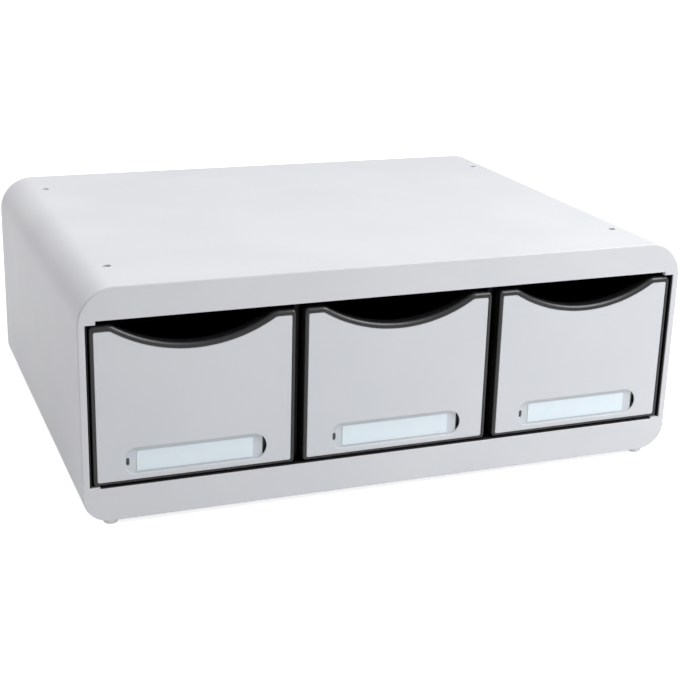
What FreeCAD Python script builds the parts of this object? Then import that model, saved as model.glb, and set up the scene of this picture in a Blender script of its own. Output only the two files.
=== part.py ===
# Desk drawer box: a rounded plastic casing that holds three drawers side by side.
# X runs from left to right as seen from the front, Y from front to back, Z upwards.
# The origin is the centre of the footprint, on the surface that the feet stand on.
import FreeCAD, Part
import math
import os

# ---- Overall sizes, in millimetres ----
overall_width = 355.0
overall_depth = 270.0
overall_height = 132.0
foot_height = 3.0

# ---- Casing ----
casing_wall = 3.0
casing_face_thickness = 3.0
casing_top_radius = 21.0
casing_bottom_radius = 15.0
casing_edge_round = 0.8
opening_side_band = 4.0
opening_bottom_band = 19.0
opening_top_band = 17.6
opening_step_width = 5.5
opening_step_height = 2.0
opening_foot_step_height = 1.0
pin_hole_radius = 2.25
pin_hole_side_setback = 24.0
pin_hole_end_setback = 39.5

# ---- Rear panel and its screws ----
rear_panel_thickness = 2.5
rear_panel_recess = 3.5
rear_panel_gap = 0.2
boss_radius = 4.6
boss_length = 12.0
screw_shank_radius = 1.5
screw_shank_gap = 0.1
screw_length = 11.0
screw_head_radius = 3.5
screw_head_height = 2.2
screw_head_gap = 0.3
screw_cross_length = 4.0
screw_cross_width = 0.9
screw_cross_depth = 1.0

# ---- Feet ----
foot_top_radius = 5.0
foot_tip_radius = 3.5
foot_tip_round = 0.8
foot_stem_radius = 2.0
foot_stem_gap = 0.15
foot_side_inset = 15.5
foot_end_inset = 5.8

# ---- Black lining of the bays ----
lining_gap = 0.1
lining_boss_gap = 0.4
side_liner_thickness = 1.9
divider_thickness = 3.0
divider_front_setback = 5.0
tongue_front_setback = 0.3
sill_thickness = 0.8
sill_inner_reach = 1.6
deck_thickness = 2.0
deck_below_opening = 0.6
top_liner_thickness = 2.0
top_liner_above_opening = 1.0
spacer_wall = 2.0
runner_width = 3.0
runner_height = 1.7
runner_spacing = 76.0
rear_fence_height = 8.0
rear_fence_thickness = 2.0
lug_length = 12.0
lug_thickness = 1.6
lug_gap = 0.2
lug_end_inset = 30.0

# ---- Drawers ----
drawer_count = 3
running_gap = 0.3
front_setback = 0.3
front_side_gap = 1.0
front_top_gap = 2.8
front_corner_radius = 2.0
front_wall = 2.4
lip_depth = 9.0
lip_height = 5.0
lip_front_round = 1.3
lip_rear_round = 3.0
scoop_depth = 13.0
scoop_end_flat = 11.8
scoop_blend_radius = 7.1
tray_side_gap = 2.0
tray_side_wall = 1.8
tray_floor = 2.0
tray_below_front = 6.6
tray_corner_radius = 6.0
tray_floor_radius = 3.0
tray_rear_gap = 5.0
stop_tab_width = 10.0
stop_tab_spacing = 70.0
stop_tab_top_gap = 1.0
stop_rib_thickness = 3.0
stop_rib_depth = 2.8
stop_rib_end_gap = 1.0
engaged_length = 84.0

# ---- Fascia plates set in the drawer fronts ----
rim_side = 2.0
rim_top = 3.0
rim_bottom = 1.5
fascia_corner_radius = 1.0
fascia_thickness = 2.4
fascia_below_rim = 0.2
fascia_gap = 0.15

# ---- Label holders in the fascias ----
label_pocket_length = 79.0
label_pocket_height = 15.0
label_pocket_depth = 1.4
label_centre_above_front = 12.1
label_card_length = 64.0
label_card_height = 11.4
label_card_drop = 0.5
label_card_thickness = 0.3
label_cover_thickness = 0.9
label_cover_gap = 0.1
label_finger_gap = 2.1
notch_lip_thickness = 0.8
notch_relief_reach = 2.0
label_eye_width = 1.9
label_eye_height = 4.4
label_eye_from_end = 2.7
label_eye_below_centre = 0.5

# ---- Levels and edges worked out from the sizes above ----
half_width = overall_width / 2
front_y = -overall_depth / 2
rear_y = overall_depth / 2
inside_front_y = front_y + casing_face_thickness
panel_front_y = rear_y - rear_panel_recess - rear_panel_thickness
inner_half_width = half_width - casing_wall
inner_floor_z = foot_height + casing_wall
inner_top_z = overall_height - casing_wall
opening_half_width = half_width - opening_side_band
opening_low_z = foot_height + opening_bottom_band
opening_high_z = overall_height - opening_top_band
deck_top_z = opening_low_z - deck_below_opening
bay_top_z = opening_high_z + top_liner_above_opening
lining_half_width = inner_half_width - lining_gap
bays_half_width = lining_half_width - side_liner_thickness
bay_width = (2 * bays_half_width - (drawer_count - 1) * divider_thickness) / drawer_count
bay_pitch = bay_width + divider_thickness
bay_centres = [(i - (drawer_count - 1) / 2) * bay_pitch for i in range(drawer_count)]
divider_centres = [x + bay_pitch / 2 for x in bay_centres[:-1]]
bay_names = ["left", "centre", "right"]

drawer_low_z = deck_top_z + runner_height + running_gap
drawer_high_z = opening_high_z - front_top_gap
drawer_front_y = front_y + front_setback
front_half_width = bay_width / 2 - front_side_gap
tray_half_width = bay_width / 2 - tray_side_gap
tray_high_z = drawer_high_z - tray_below_front
tray_rear_y = panel_front_y - tray_rear_gap
fascia_front_y = drawer_front_y + fascia_below_rim
fascia_seat_y = fascia_front_y + fascia_thickness
front_inside_y = fascia_seat_y + front_wall
scoop_half_width = front_half_width - scoop_end_flat
scoop_radius = (scoop_half_width ** 2 + scoop_depth ** 2) / (2 * scoop_depth)
scoop_centre_z = drawer_high_z - scoop_depth + scoop_radius
stop_tab_front_y = tray_rear_y - tray_side_wall
drawer_travel = tray_rear_y - front_y - engaged_length
stop_rib_rear_y = stop_tab_front_y - drawer_travel - running_gap
label_centre_z = drawer_low_z + label_centre_above_front
label_pocket_floor_y = fascia_front_y + label_pocket_depth
label_card_front_y = label_pocket_floor_y - label_card_thickness

BACK = FreeCAD.Vector(0, 1, 0)
UP = FreeCAD.Vector(0, 0, 1)


def point(x, y, z):
    return FreeCAD.Vector(x, y, z)


def box(x_low, x_high, y_low, y_high, z_low, z_high):
    """A block between two corners."""
    return Part.makeBox(x_high - x_low, y_high - y_low, z_high - z_low, point(x_low, y_low, z_low))


def edges_along(solid, direction):
    """The straight edges of a solid that run along a direction."""
    found = []
    for edge in solid.Edges:
        if isinstance(edge.Curve, Part.Line) and abs(edge.Curve.Direction.dot(direction)) > 0.999:
            found.append(edge)
    return found


def edges_in_plane_y(solid, y):
    """The edges of a solid that lie in the upright plane at one depth."""
    found = []
    for edge in solid.Edges:
        if abs(edge.BoundBox.YMin - y) < 0.001 and abs(edge.BoundBox.YMax - y) < 0.001:
            found.append(edge)
    return found


def rounded_bar(bar_half_width, y_low, y_high, z_low, z_high, low_radius, high_radius):
    """A bar along Y whose four long edges are rounded, with one radius below and one above."""
    bar = box(-bar_half_width, bar_half_width, y_low, y_high, z_low, z_high)
    low_edges = [e for e in edges_along(bar, BACK) if e.BoundBox.ZMax < (z_low + z_high) / 2]
    bar = bar.makeFillet(low_radius, low_edges).Solids[0]
    high_edges = [e for e in edges_along(bar, BACK) if e.BoundBox.ZMin > z_high - 0.001]
    high_edges = [e for e in high_edges if abs(e.BoundBox.XMin) > bar_half_width - 0.001]
    return bar.makeFillet(high_radius, high_edges).Solids[0]


def stadium(x_low, x_high, z_centre, height, y_low, y_high):
    """A plate facing Y with straight long sides and half-round ends."""
    radius = height / 2
    middle = box(x_low + radius, x_high - radius, y_low, y_high, z_centre - radius, z_centre + radius)
    ends = [
        Part.makeCylinder(radius, y_high - y_low, point(x, y_low, z_centre), BACK)
        for x in (x_low + radius, x_high - radius)
    ]
    return middle.fuse(ends).removeSplitter()


# ---- Casing: one moulded shell, open at the back ----

def boss_centres():
    """The screw bosses stand in the rounded inner corners, where each screw head just clears the wall."""
    centres = []
    for wall_z, outer_radius, outwards in (
        (inner_floor_z, casing_bottom_radius, -1),
        (inner_top_z, casing_top_radius, 1),
    ):
        inner_radius = outer_radius - casing_wall
        reach = (inner_radius - screw_head_radius - screw_head_gap) / math.sqrt(2)
        x = inner_half_width - inner_radius + reach
        z = wall_z - outwards * (inner_radius - reach)
        centres.append((-x, z))
        centres.append((x, z))
    return centres


def pin_hole_centres():
    """Four holes in the top that locate a second box stacked on this one."""
    x = half_width - pin_hole_side_setback
    y = rear_y - pin_hole_end_setback
    return [(-x, -y), (-x, y), (x, -y), (x, y)]


def foot_centres():
    x = half_width - foot_side_inset
    y = rear_y - foot_end_inset
    return {
        "front_left": (-x, -y),
        "front_right": (x, -y),
        "rear_left": (-x, y),
        "rear_right": (x, y),
    }


def make_outer_casing():
    shell = rounded_bar(
        half_width, front_y, rear_y, foot_height, overall_height, casing_bottom_radius, casing_top_radius
    )
    ends = edges_in_plane_y(shell, front_y) + edges_in_plane_y(shell, rear_y)
    shell = shell.makeFillet(casing_edge_round, ends).Solids[0]
    cavity = rounded_bar(
        inner_half_width, inside_front_y, rear_y + 1, inner_floor_z, inner_top_z,
        casing_bottom_radius - casing_wall, casing_top_radius - casing_wall,
    )
    shell = shell.cut(cavity)
    opening_wide = box(
        -opening_half_width, opening_half_width, front_y - 1, inside_front_y + 1,
        opening_low_z + opening_foot_step_height, opening_high_z - opening_step_height,
    )
    opening_tall = box(
        -opening_half_width + opening_step_width, opening_half_width - opening_step_width,
        front_y - 1, inside_front_y + 1, opening_low_z, opening_high_z,
    )
    shell = shell.cut(opening_wide.fuse(opening_tall))
    bosses = [
        Part.makeCylinder(boss_radius, boss_length, point(x, panel_front_y - boss_length, z), BACK)
        for x, z in boss_centres()
    ]
    shell = shell.fuse(bosses)
    holes = [
        Part.makeCylinder(
            screw_shank_radius + screw_shank_gap, boss_length + 1,
            point(x, panel_front_y - boss_length + 1, z), BACK,
        )
        for x, z in boss_centres()
    ]
    for x, y in pin_hole_centres():
        holes.append(Part.makeCylinder(pin_hole_radius, casing_wall + 2, point(x, y, inner_top_z - 1), UP))
    for x, y in foot_centres().values():
        radius = foot_stem_radius + foot_stem_gap
        holes.append(Part.makeCylinder(radius, casing_wall + 2, point(x, y, foot_height - 1), UP))
    return shell.cut(holes).removeSplitter()


def make_rear_panel():
    panel = rounded_bar(
        inner_half_width - rear_panel_gap, panel_front_y, panel_front_y + rear_panel_thickness,
        inner_floor_z + rear_panel_gap, inner_top_z - rear_panel_gap,
        casing_bottom_radius - casing_wall - rear_panel_gap,
        casing_top_radius - casing_wall - rear_panel_gap,
    )
    holes = [
        Part.makeCylinder(
            screw_shank_radius + screw_shank_gap, rear_panel_thickness + 2,
            point(x, panel_front_y - 1, z), BACK,
        )
        for x, z in boss_centres()
    ]
    return panel.cut(holes)


def make_screw(x, z):
    """A pan-head self-tapping screw, its head seated on the back of the rear panel."""
    seat_y = panel_front_y + rear_panel_thickness
    shank = Part.makeCylinder(screw_shank_radius, screw_length, point(x, seat_y - screw_length, z), BACK)
    head = Part.makeCylinder(screw_head_radius, screw_head_height, point(x, seat_y, z), BACK)
    rim = [e for e in edges_in_plane_y(head, seat_y + screw_head_height) if e.Closed]
    head = head.makeFillet(screw_head_height / 2, rim).Solids[0]
    slot_low_y = seat_y + screw_head_height - screw_cross_depth
    slot_high_y = seat_y + screw_head_height + 1
    screw = shank.fuse(head)
    for across_x, across_z in (
        (screw_cross_length / 2, screw_cross_width / 2),
        (screw_cross_width / 2, screw_cross_length / 2),
    ):
        slot = box(x - across_x, x + across_x, slot_low_y, slot_high_y, z - across_z, z + across_z)
        screw = screw.cut(slot)
    return screw.removeSplitter()


def make_foot(x, y):
    """A domed stud with a stem that is pushed up into the casing floor."""
    stud = Part.makeCone(foot_tip_radius, foot_top_radius, foot_height, point(x, y, 0), UP)
    tip = [e for e in stud.Edges if e.Closed and e.BoundBox.ZMax < 0.001]
    stud = stud.makeFillet(foot_tip_round, tip).Solids[0]
    stem = Part.makeCylinder(foot_stem_radius, casing_wall, point(x, y, foot_height), UP)
    return stud.fuse(stem).removeSplitter()


# ---- Black lining: deck, top liner, side liners and dividers ----

def inside_casing(solid):
    """Trim a lining piece to the rounded inside of the casing and clear of its screw bosses."""
    room = rounded_bar(
        lining_half_width, inside_front_y, panel_front_y, inner_floor_z, inner_top_z,
        casing_bottom_radius - casing_wall - lining_gap, casing_top_radius - casing_wall - lining_gap,
    )
    bosses = [
        Part.makeCylinder(
            boss_radius + lining_boss_gap, boss_length + lining_boss_gap + 1,
            point(x, panel_front_y - boss_length - lining_boss_gap, z), BACK,
        )
        for x, z in boss_centres()
    ]
    return solid.common(room).cut(bosses).removeSplitter()


def lug_spans():
    """Where the dividers' front and rear lugs lie along Y."""
    front = inside_front_y + lug_end_inset
    rear = panel_front_y - lug_end_inset
    return [(front, front + lug_length), (rear - lug_length, rear)]


def lug_slots(z_low, z_high):
    half = lug_thickness / 2 + lug_gap
    return [
        box(x - half, x + half, y_low - lug_gap, y_high + lug_gap, z_low, z_high)
        for x in divider_centres
        for y_low, y_high in lug_spans()
    ]


def spacer_centres():
    """Spacer walls stand under the middle of each bay and beside each divider's lugs."""
    beside = lug_thickness / 2 + lug_gap + spacer_wall
    return bay_centres + [x - beside for x in divider_centres] + [x + beside for x in divider_centres]


def make_runner_deck():
    """The plate under the drawers: two runner ribs in each bay and a sill over the opening's lower edge."""
    deck_low_z = deck_top_z - deck_thickness
    solid = box(
        -lining_half_width, lining_half_width, inside_front_y, panel_front_y, deck_low_z, deck_top_z
    )
    ribs = []
    for centre in bay_centres:
        for x in (centre - runner_spacing / 2, centre + runner_spacing / 2):
            ribs.append(box(
                x - runner_width / 2, x + runner_width / 2, inside_front_y, tray_rear_y,
                deck_top_z, deck_top_z + runner_height,
            ))
        ribs.append(box(
            centre - tray_half_width, centre + tray_half_width, tray_rear_y + running_gap,
            tray_rear_y + running_gap + rear_fence_thickness, deck_top_z, deck_top_z + rear_fence_height,
        ))
    for x in spacer_centres():
        ribs.append(box(
            x - spacer_wall / 2, x + spacer_wall / 2, inside_front_y, panel_front_y,
            inner_floor_z, deck_low_z,
        ))
    deck = inside_casing(solid.fuse(ribs).cut(lug_slots(deck_low_z, deck_top_z)))
    sill_half_width = opening_half_width - opening_step_width - lining_gap
    sill_low_z = opening_low_z + lining_gap
    sill_high_z = sill_low_z + sill_thickness
    sill_rear_y = inside_front_y + sill_inner_reach
    sill = box(
        -sill_half_width, sill_half_width, front_y + tongue_front_setback, sill_rear_y,
        sill_low_z, sill_high_z,
    )
    upstand = box(
        -sill_half_width, sill_half_width, inside_front_y + lining_gap, sill_rear_y,
        deck_top_z - deck_thickness / 2, sill_high_z,
    )
    return deck.fuse([sill, upstand]).removeSplitter()


def make_top_liner():
    """The plate over the drawers, with a rib across each bay that stops the open drawer."""
    liner_high_z = bay_top_z + top_liner_thickness
    solid = box(
        -lining_half_width, lining_half_width, inside_front_y, panel_front_y, bay_top_z, liner_high_z
    )
    ribs = []
    for centre in bay_centres:
        half = bay_width / 2 - stop_rib_end_gap
        ribs.append(box(
            centre - half, centre + half, stop_rib_rear_y - stop_rib_thickness, stop_rib_rear_y,
            bay_top_z - stop_rib_depth, bay_top_z,
        ))
    for x in spacer_centres():
        ribs.append(box(
            x - spacer_wall / 2, x + spacer_wall / 2, inside_front_y, panel_front_y,
            liner_high_z, inner_top_z,
        ))
    return inside_casing(solid.fuse(ribs).cut(lug_slots(bay_top_z, liner_high_z)))


def make_side_liner(side):
    """The lining of one end wall, with a tongue that covers the upright edge of the opening."""
    x_inner = side * bays_half_width
    x_outer = side * lining_half_width
    x_edge = side * (opening_half_width - lining_gap)
    plate = inside_casing(box(
        min(x_inner, x_outer), max(x_inner, x_outer), inside_front_y, panel_front_y, deck_top_z, bay_top_z
    ))
    tongue = box(
        min(x_inner, x_edge), max(x_inner, x_edge), front_y + tongue_front_setback, inside_front_y + 1,
        opening_low_z + opening_foot_step_height + lining_gap,
        opening_high_z - opening_step_height - lining_gap,
    )
    return plate.fuse(tongue).removeSplitter()


def make_divider(x):
    """An upright partition between two bays, held by lugs in the deck and the top liner."""
    solid = box(
        x - divider_thickness / 2, x + divider_thickness / 2,
        inside_front_y + divider_front_setback, panel_front_y, deck_top_z, bay_top_z,
    )
    lugs = []
    for y_low, y_high in lug_spans():
        lugs.append(box(
            x - lug_thickness / 2, x + lug_thickness / 2, y_low, y_high,
            deck_top_z - deck_thickness, bay_top_z + top_liner_thickness,
        ))
    return solid.fuse(lugs).removeSplitter()


# ---- Drawers ----

def front_outline(x, y, inset_side, inset_low, inset_high, corner=fascia_corner_radius):
    """Face of a drawer front in the plane at y: a rectangle whose top edge dips in a round finger scoop.

    The insets move the outline inwards, and the scoop stays parallel to that of the full front.
    """
    half = front_half_width - inset_side
    low = drawer_low_z + inset_low
    high = drawer_high_z - inset_high
    scoop = scoop_radius + inset_high
    blend = scoop_blend_radius - inset_high
    blend_x = math.sqrt((scoop + blend) ** 2 - (scoop_centre_z - high + blend) ** 2)
    blend_z = high - blend
    share = blend / (scoop + blend)
    meet_x = blend_x * (1 - share)
    meet_z = blend_z + (scoop_centre_z - blend_z) * share
    middle_angle = (math.pi / 2 + math.atan2(meet_z - blend_z, meet_x - blend_x)) / 2
    crest_x = blend_x + blend * math.cos(middle_angle)
    crest_z = blend_z + blend * math.sin(middle_angle)
    cut = corner * (1 - math.sqrt(0.5))

    def line(x1, z1, x2, z2):
        return Part.LineSegment(point(x + x1, y, z1), point(x + x2, y, z2)).toShape()

    def arc(x1, z1, x2, z2, x3, z3):
        return Part.Arc(point(x + x1, y, z1), point(x + x2, y, z2), point(x + x3, y, z3)).toShape()

    edges = [
        line(-half + corner, low, half - corner, low),
        arc(half - corner, low, half - cut, low + cut, half, low + corner),
        line(half, low + corner, half, high - corner),
        arc(half, high - corner, half - cut, high - cut, half - corner, high),
        line(half - corner, high, blend_x, high),
        arc(blend_x, high, crest_x, crest_z, meet_x, meet_z),
        arc(meet_x, meet_z, 0, scoop_centre_z - scoop, -meet_x, meet_z),
        arc(-meet_x, meet_z, -crest_x, crest_z, -blend_x, high),
        line(-blend_x, high, -half + corner, high),
        arc(-half + corner, high, -half + cut, high - cut, -half, high - corner),
        line(-half, high - corner, -half, low + corner),
        arc(-half, low + corner, -half + cut, low + cut, -half + corner, low),
    ]
    return Part.Face(Part.Wire(edges))


def make_tray_tub(x):
    """The open box behind the drawer front, with rounded corners at the back and along the floor."""
    outside = box(
        x - tray_half_width, x + tray_half_width, front_inside_y, tray_rear_y, drawer_low_z, tray_high_z
    )
    rear_edges = [e for e in edges_along(outside, UP) if e.BoundBox.YMin > tray_rear_y - 0.001]
    outside = outside.makeFillet(tray_corner_radius, rear_edges).Solids[0]
    inside_half = tray_half_width - tray_side_wall
    inside_rear_y = tray_rear_y - tray_side_wall
    inside_low_z = drawer_low_z + tray_floor
    inside = box(
        x - inside_half, x + inside_half, front_inside_y, inside_rear_y, inside_low_z, tray_high_z + 1
    )
    rear_edges = [e for e in edges_along(inside, UP) if e.BoundBox.YMin > inside_rear_y - 0.001]
    inside = inside.makeFillet(tray_corner_radius - tray_side_wall, rear_edges).Solids[0]
    floor_edges = [e for e in inside.Edges if e.BoundBox.ZMax < inside_low_z + 0.001]
    inside = inside.makeFillet(tray_floor_radius, floor_edges).Solids[0]
    return outside.cut(inside)


def make_drawer_tray(x):
    """A moulded drawer: scooped front wall with a rolled lip, a pocket for its fascia, tub and stop tabs."""
    front = front_outline(x, drawer_front_y, 0, 0, 0, front_corner_radius).extrude(BACK * lip_depth)
    lip_rear_y = drawer_front_y + lip_depth
    scooped = [e for e in edges_in_plane_y(front, lip_rear_y) if e.BoundBox.ZMin > tray_high_z - scoop_depth]
    front = front.makeFillet(lip_rear_round, scooped).Solids[0]
    face_edges = edges_in_plane_y(front, drawer_front_y)
    front = front.makeFillet(lip_front_round, face_edges).Solids[0]
    relief_side = tray_side_gap - front_side_gap + tray_side_wall
    relief = front_outline(x, front_inside_y, relief_side, tray_floor, lip_height)
    front = front.cut(relief.extrude(BACK * lip_depth))
    pocket = front_outline(x, drawer_front_y - 1, rim_side, rim_bottom, rim_top)
    front = front.cut(pocket.extrude(BACK * (fascia_seat_y - drawer_front_y + 1)))
    tabs = []
    for side in (-1, 1):
        tab_x = x + side * stop_tab_spacing / 2
        tabs.append(box(
            tab_x - stop_tab_width / 2, tab_x + stop_tab_width / 2, stop_tab_front_y, tray_rear_y,
            tray_high_z - 1, bay_top_z - stop_tab_top_gap,
        ))
    return front.fuse([make_tray_tub(x)] + tabs).removeSplitter()


def make_drawer_fascia(x):
    """The light plate set in the drawer front, with a pocket for the label and its clear cover."""
    plate = front_outline(
        x, fascia_front_y, rim_side + fascia_gap, rim_bottom + fascia_gap, rim_top + fascia_gap
    ).extrude(BACK * fascia_thickness)
    left_x = x - label_pocket_length / 2
    right_x = x + label_pocket_length / 2
    outside_y = fascia_front_y - 1
    behind_y = fascia_front_y + fascia_thickness + 1
    pocket = stadium(left_x, right_x, label_centre_z, label_pocket_height, outside_y, label_pocket_floor_y)

    # the round end beyond the cover and a small eye at the left end go right through the plate, and the
    # plate is thinned from behind around that end so that a fingertip can reach under the cover
    notch = stadium(x, right_x, label_centre_z, label_pocket_height, outside_y, behind_y)
    relief = stadium(
        x, right_x + notch_relief_reach, label_centre_z, label_pocket_height + 2 * notch_relief_reach,
        fascia_front_y + notch_lip_thickness, behind_y,
    )
    notch = notch.fuse(relief).common(box(
        right_x - label_finger_gap, right_x + label_pocket_height, outside_y, behind_y,
        drawer_low_z, drawer_high_z,
    ))
    eye_x = left_x + label_eye_from_end
    eye_radius = label_eye_width / 2
    eye_reach = label_eye_height / 2 - eye_radius
    eye_z = label_centre_z - label_eye_below_centre
    eye = box(
        eye_x - eye_radius, eye_x + eye_radius, outside_y, behind_y, eye_z - eye_reach, eye_z + eye_reach
    )
    eye = eye.fuse([
        Part.makeCylinder(eye_radius, behind_y - outside_y, point(eye_x, outside_y, z), BACK)
        for z in (eye_z - eye_reach, eye_z + eye_reach)
    ])
    return plate.cut([pocket, notch, eye]).removeSplitter()


def make_label_card(x):
    """The card, shorter than the pocket and resting a little low in it."""
    card_centre_z = label_centre_z - label_card_drop
    return box(
        x - label_card_length / 2, x + label_card_length / 2, label_card_front_y, label_pocket_floor_y,
        card_centre_z - label_card_height / 2, card_centre_z + label_card_height / 2,
    )


def make_label_window(x):
    """The clear cover over the card, cut straight short of the pocket's right end for a fingertip."""
    front_y = label_card_front_y - label_cover_thickness
    left_x = x - label_pocket_length / 2 + label_cover_gap
    right_x = x + label_pocket_length / 2
    cover = stadium(
        left_x, right_x - label_cover_gap, label_centre_z, label_pocket_height - 2 * label_cover_gap,
        front_y, label_card_front_y,
    )
    return cover.common(box(
        left_x, right_x - label_finger_gap - label_cover_gap, front_y, label_card_front_y,
        drawer_low_z, drawer_high_z,
    ))


# ---- Build every piece and write one file for each ----

pieces = {
    "outer_casing": make_outer_casing(),
    "rear_panel": make_rear_panel(),
    "rear_panel_screws": Part.makeCompound([make_screw(x, z) for x, z in boss_centres()]),
    "runner_deck": make_runner_deck(),
    "top_liner": make_top_liner(),
    "side_liner_left": make_side_liner(-1),
    "side_liner_right": make_side_liner(1),
    "divider_left": make_divider(divider_centres[0]),
    "divider_right": make_divider(divider_centres[-1]),
}
for name, (foot_x, foot_y) in foot_centres().items():
    pieces["foot_" + name] = make_foot(foot_x, foot_y)
for name, bay_x in zip(bay_names, bay_centres):
    pieces["drawer_tray_" + name] = make_drawer_tray(bay_x)
    pieces["drawer_fascia_" + name] = make_drawer_fascia(bay_x)
    pieces["label_card_" + name] = make_label_card(bay_x)
    pieces["label_window_" + name] = make_label_window(bay_x)

os.makedirs("parts", exist_ok=True)
for name, shape in pieces.items():
    shape.exportStep("parts/" + name + ".step")
    print(f"{name:24s} solids {len(shape.Solids)}  valid {shape.isValid()}  {shape.Volume / 1000:8.2f} cm3")
print(f"drawer travel {drawer_travel:.1f} mm, drawer pitch {bay_pitch:.1f} mm")
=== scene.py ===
import bmesh
import bpy
import math
from mathutils import Euler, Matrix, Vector


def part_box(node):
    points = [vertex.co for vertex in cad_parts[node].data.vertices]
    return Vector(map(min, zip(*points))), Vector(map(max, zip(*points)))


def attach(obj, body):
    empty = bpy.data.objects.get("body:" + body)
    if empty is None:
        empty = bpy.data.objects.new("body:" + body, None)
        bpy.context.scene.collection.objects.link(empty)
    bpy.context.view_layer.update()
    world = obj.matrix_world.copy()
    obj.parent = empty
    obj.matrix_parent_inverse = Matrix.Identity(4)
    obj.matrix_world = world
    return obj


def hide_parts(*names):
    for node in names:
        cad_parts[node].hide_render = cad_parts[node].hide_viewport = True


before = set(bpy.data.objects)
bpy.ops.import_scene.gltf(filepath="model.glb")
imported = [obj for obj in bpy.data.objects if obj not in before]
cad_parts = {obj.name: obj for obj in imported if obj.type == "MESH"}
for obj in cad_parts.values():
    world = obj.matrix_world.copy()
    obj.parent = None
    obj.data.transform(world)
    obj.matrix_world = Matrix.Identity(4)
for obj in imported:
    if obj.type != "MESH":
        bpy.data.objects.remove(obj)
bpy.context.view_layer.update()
mm = 0.001

# ---- Outer casing ----
# One light grey shell, a rounded rectangle in section and open at the back. It is injection moulded
# in polystyrene, and its tool was spark eroded, which leaves a fine satin grain on every face.
casing_low, casing_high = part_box("outer_casing")
casing_front_y = casing_low.y
casing_rear_y = casing_high.y
casing_half_width = casing_high.x
casing_wall = 3.0 * mm
casing_face_thickness = 3.0 * mm
casing_top_radius = 21.0 * mm
casing_bottom_radius = 15.0 * mm
casing_edge_round = 0.8 * mm
opening_edge_round = 0.4 * mm
hole_edge_round = 0.5 * mm
opening_side_band = 4.0 * mm
opening_bottom_band = 19.0 * mm
opening_top_band = 17.6 * mm
opening_step_width = 5.5 * mm
opening_step_height = 2.0 * mm
opening_foot_step_height = 1.0 * mm
pin_hole_radius = 2.25 * mm
pin_hole_side_setback = 24.0 * mm
pin_hole_end_setback = 39.5 * mm
foot_stem_hole_radius = 2.15 * mm
foot_side_inset = 15.5 * mm
foot_end_inset = 5.8 * mm
rear_panel_low, rear_panel_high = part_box("rear_panel")
rear_panel_front_y = rear_panel_low.y
boss_radius = 4.6 * mm
boss_length = 12.0 * mm
screw_hole_radius = 1.6 * mm
screw_hole_floor = 1.0 * mm
screw_head_room = 3.8 * mm
corner_steps = 24
peg_sides = 40
upright = (0.0, 0.0, 0.0)
along_depth = (math.radians(90), 0.0, 0.0)
sharp_angle = math.radians(35)
weld_distance = 0.001 * mm
on_plane = 0.01 * mm
beside_opening = 0.1 * mm


def colour(text):
    """An sRGB hex colour as the linear values that a shader takes."""
    shares = [int(text[i:i + 2], 16) / 255 for i in (0, 2, 4)]
    return [s / 12.92 if s <= 0.04045 else ((s + 0.055) / 1.055) ** 2.4 for s in shares] + [1.0]


def add(tree, kind, inputs=None, **settings):
    """Add a node. An input takes a value, the node or socket that feeds it, or a list of those."""
    node = tree.nodes.new(kind)
    for name, value in settings.items():
        setattr(node, name, value)
    for name, value in (inputs or {}).items():
        socket = next(s for s in node.inputs if s.enabled and name in (s.identifier, s.name))
        several = isinstance(value, list) and isinstance(value[0], bpy.types.Node)
        for source in value if several else [value]:
            if isinstance(source, bpy.types.Node):
                source = next(s for s in source.outputs if s.enabled)
            if isinstance(source, bpy.types.NodeSocket):
                tree.links.new(source, socket)
            else:
                socket.default_value = source
    return node


def shader_tree(name):
    """A new material's empty node tree with the object's own coordinates, and the material."""
    material = bpy.data.materials.new(name)
    material.use_nodes = True
    tree = material.node_tree
    tree.nodes.clear()
    place = add(tree, "ShaderNodeTexCoord").outputs["Object"]
    return material, tree, place


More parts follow.
